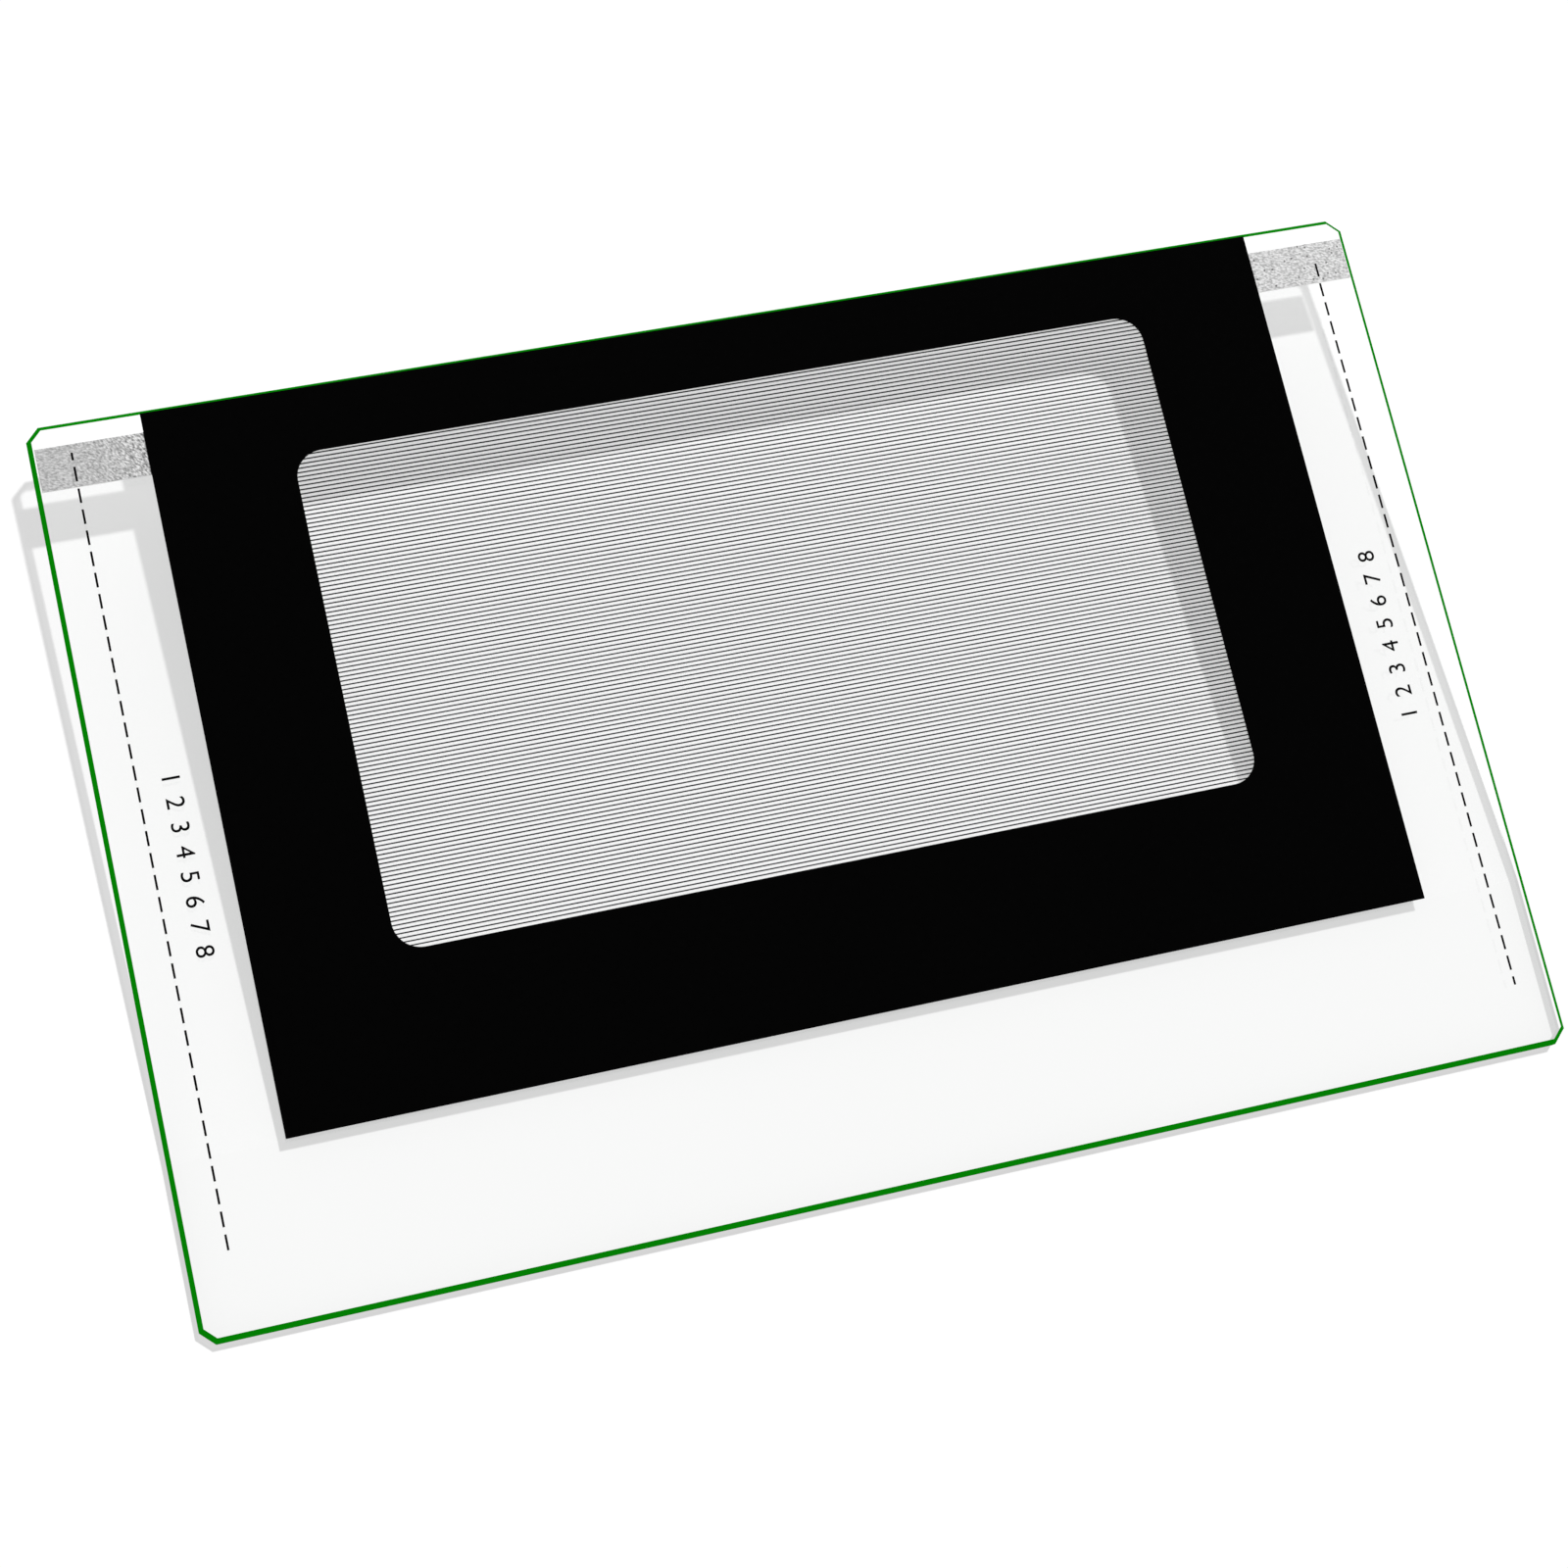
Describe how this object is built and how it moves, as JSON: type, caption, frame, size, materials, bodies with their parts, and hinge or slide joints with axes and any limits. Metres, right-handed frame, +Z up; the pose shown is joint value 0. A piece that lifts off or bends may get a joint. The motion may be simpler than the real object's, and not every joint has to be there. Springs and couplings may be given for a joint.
{
  "type": "glass negative carrier with hinged foil mask",
  "caption": "Clear glass carrier plate with clipped corners; a black foil mask opens on a crease over a finely ruled film screen, and dashed lines place a sheet.",
  "frame": {"origin": "middle of the plate's underside", "axes": "+X along the plate's long side, +Y towards the long edge that carries the grained strip and the crease, +Z up out of the masked face"},
  "size_m": [0.224, 0.1458, 0.0036],
  "materials": {
    "clear_glass": "clear float glass, polished faces, ground edges that look bright green",
    "grained_grey": "matt grey with a fine leather-like grain",
    "black_foil": "dead matt black foil",
    "clear_film": "clear glossy film",
    "black_ink": "matt black printing ink"
  },
  "bodies": {
    "plate": {"glass_plate": "clear_glass", "grained_strip": "grained_grey", "mask_border": "black_foil", "screen_film": "clear_film", "screen_lines": "black_ink", "left_dashed_line": "black_ink", "right_dashed_line": "black_ink"},
    "panel": {"mask_panel": "black_foil"}
  },
  "joints": [
    {"name": "panel_crease", "type": "hinge", "parent": "plate", "child": "panel", "pos_m": [0, 0.0626, 0.0036], "axis": [-1, 0, 0], "range_deg": [0, 120]}
  ]
}
